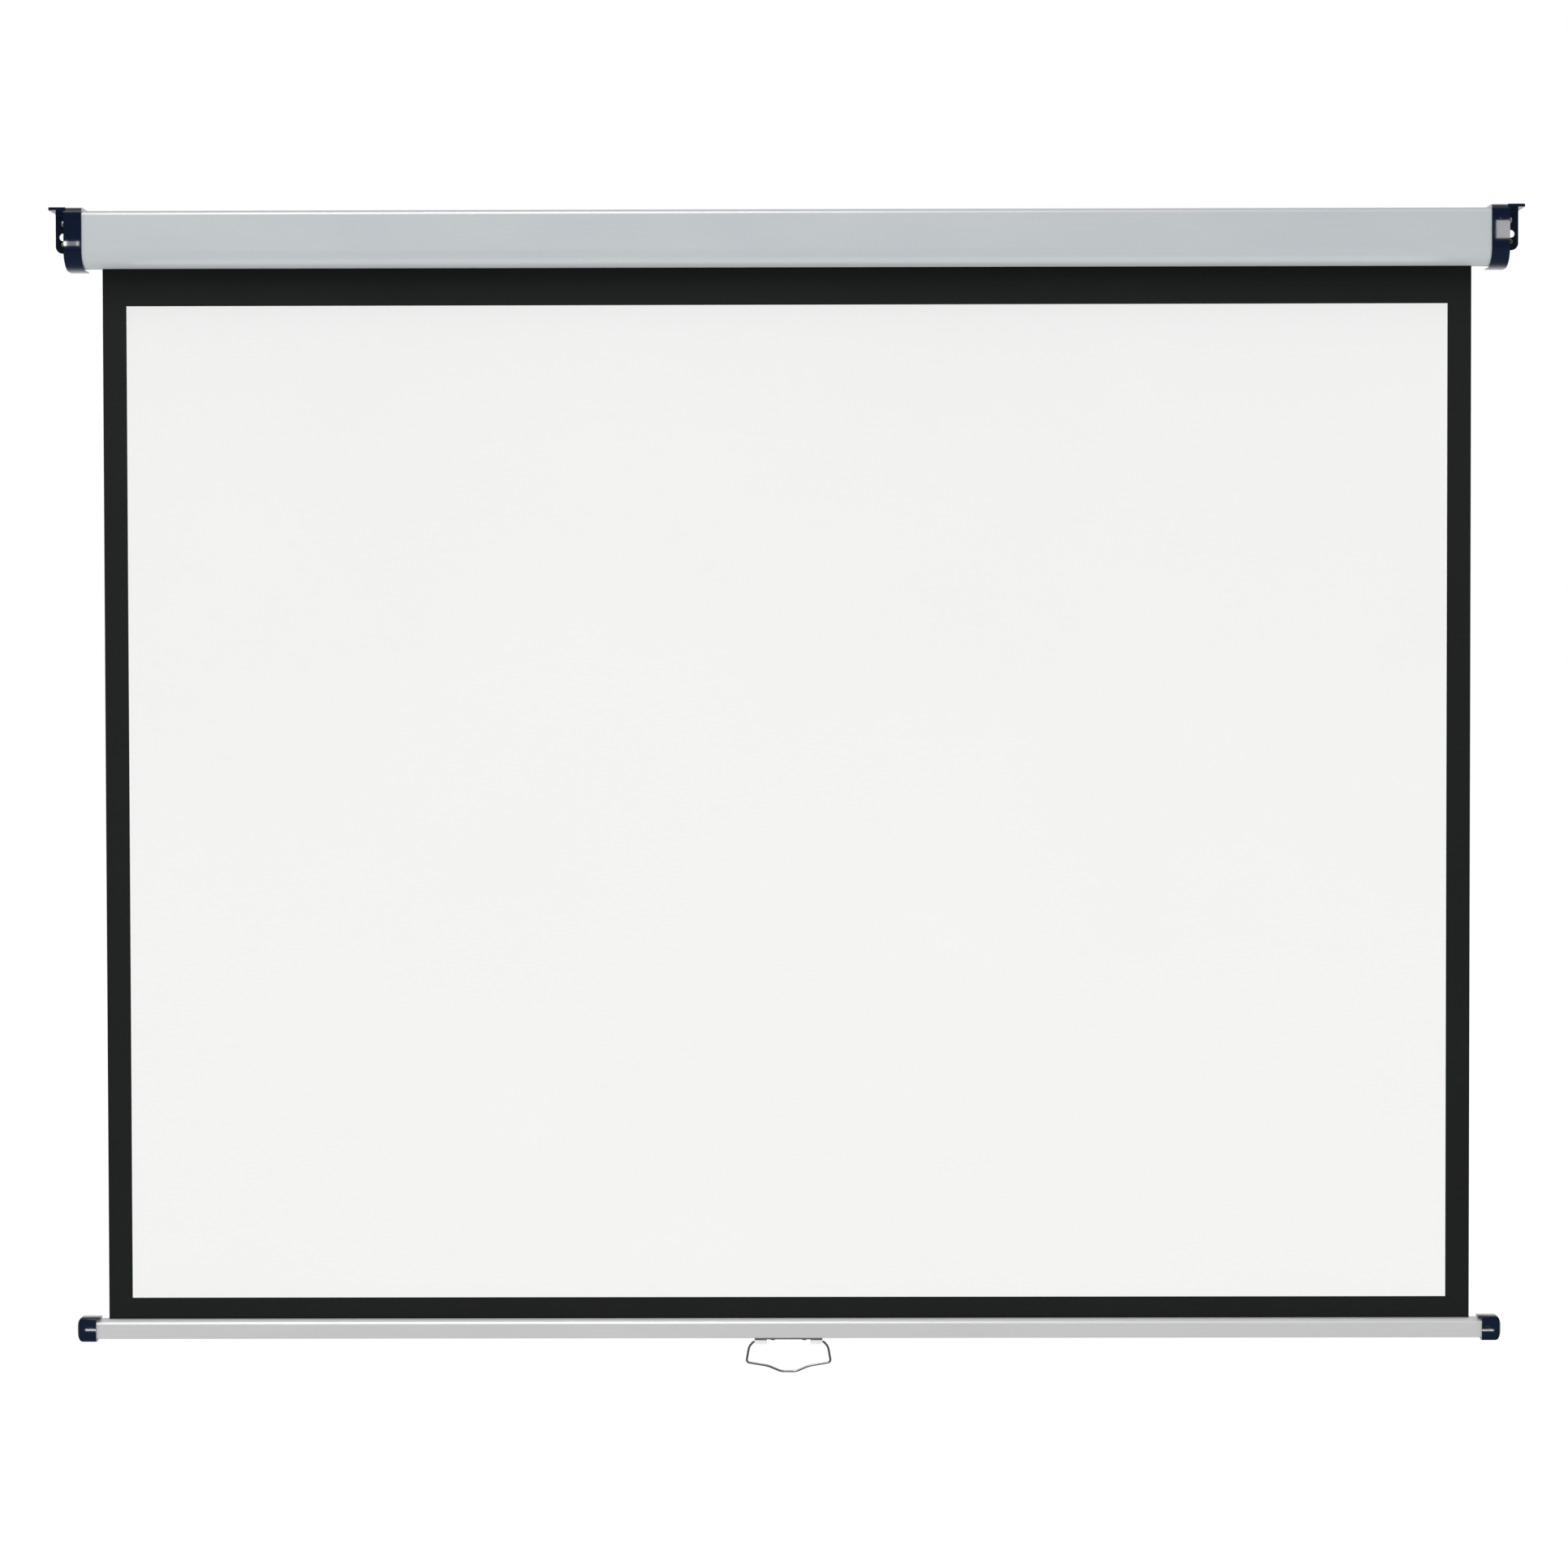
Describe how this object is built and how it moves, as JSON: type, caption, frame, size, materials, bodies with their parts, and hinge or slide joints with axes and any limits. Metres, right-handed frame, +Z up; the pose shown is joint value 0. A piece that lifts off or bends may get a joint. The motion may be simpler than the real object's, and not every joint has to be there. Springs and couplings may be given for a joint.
{
  "type": "pull down projector screen",
  "caption": "Wall or ceiling hung pull down projector screen: a long housing with a self-winding roller, white cloth with black border, weight bar and wire pull handle.",
  "frame": {"origin": "on the flat back of the housing, in the wall plane, half way along it and half way up it", "axes": "+X to the viewer's right along the housing, +Y into the wall, +Z up"},
  "size_m": [1.663, 0.06, 1.3262],
  "materials": {
    "housing_silver": "smooth silver grey powder coat, satin",
    "cap_navy": "glossy dark navy moulded plastic",
    "zinc_steel": "zinc plated steel",
    "brass_plate": "dull brass plating",
    "spring_steel": "dark oiled spring steel",
    "nylon_white": "natural white nylon",
    "cloth_black": "matt black coated cloth",
    "cloth_white": "matt white coated cloth",
    "bar_silver": "light silver grey coat on an aluminium profile, satin",
    "bearing_white": "white moulded nylon",
    "wire_steel": "bright drawn steel wire"
  },
  "bodies": {
    "case": {"housing_shell": "housing_silver", "end_cap_left": "cap_navy", "end_cap_right": "cap_navy", "case_screw_left_front": "zinc_steel", "case_screw_left_rear": "zinc_steel", "case_screw_right_front": "zinc_steel", "case_screw_right_rear": "zinc_steel", "flange_screw_left": "brass_plate", "flange_screw_right": "brass_plate", "arbor_rod": "zinc_steel", "ratchet_disc": "zinc_steel", "spring_anchor": "nylon_white", "anchor_pin": "spring_steel", "arbor_washer": "nylon_white", "idler_washer": "nylon_white", "idler_bush": "nylon_white", "carrier_cloth": "cloth_black", "picture_surface": "cloth_white"},
    "roller": {"roller_tube": "zinc_steel", "cloth_wraps": "cloth_black", "roller_plug_spring": "nylon_white", "roller_cover": "nylon_white", "roller_plug_idler": "nylon_white", "gudgeon_pin": "zinc_steel", "torsion_spring": "spring_steel", "pawl_pin_upper": "spring_steel", "pawl_pin_lower": "spring_steel"},
    "upper_pawl": {"pawl_upper": "zinc_steel"},
    "lower_pawl": {"pawl_lower": "zinc_steel"},
    "bar": {"weight_bar": "bar_silver", "hem_rod": "nylon_white", "bar_cap_left": "cap_navy", "bar_cap_right": "cap_navy", "handle_plate": "zinc_steel", "handle_bearing_left": "bearing_white", "handle_bearing_right": "bearing_white", "handle_rivet_left": "zinc_steel", "handle_rivet_right": "zinc_steel"},
    "handle": {"pull_handle": "wire_steel"}
  },
  "joints": [
    {"name": "screen_drop", "type": "slide", "parent": "case", "child": "bar", "axis": [0, 0, 1], "range_m": [0, 1.19], "deforming": ["carrier_cloth", "picture_surface"]},
    {"name": "roller_spin", "type": "hinge", "parent": "case", "child": "roller", "pos_m": [0, -0.031, 0.004], "axis": [1, 0, 0], "range_deg": [0, 3600]},
    {"name": "handle_swing", "type": "hinge", "parent": "bar", "child": "handle", "pos_m": [0, -0.01312, -1.255], "axis": [1, 0, 0], "range_deg": [-88, 20]},
    {"name": "upper_pawl_swing", "type": "hinge", "parent": "roller", "child": "upper_pawl", "pos_m": [-0.7786, -0.031, 0.01481], "axis": [1, 0, 0], "range_deg": [-20, 0]},
    {"name": "lower_pawl_swing", "type": "hinge", "parent": "roller", "child": "lower_pawl", "pos_m": [-0.7786, -0.031, -0.00681], "axis": [1, 0, 0], "range_deg": [-20, 0]}
  ],
  "couplings": [
    {"joint": "roller_spin", "follows": "screen_drop", "rad_per_m": 52.8}
  ]
}
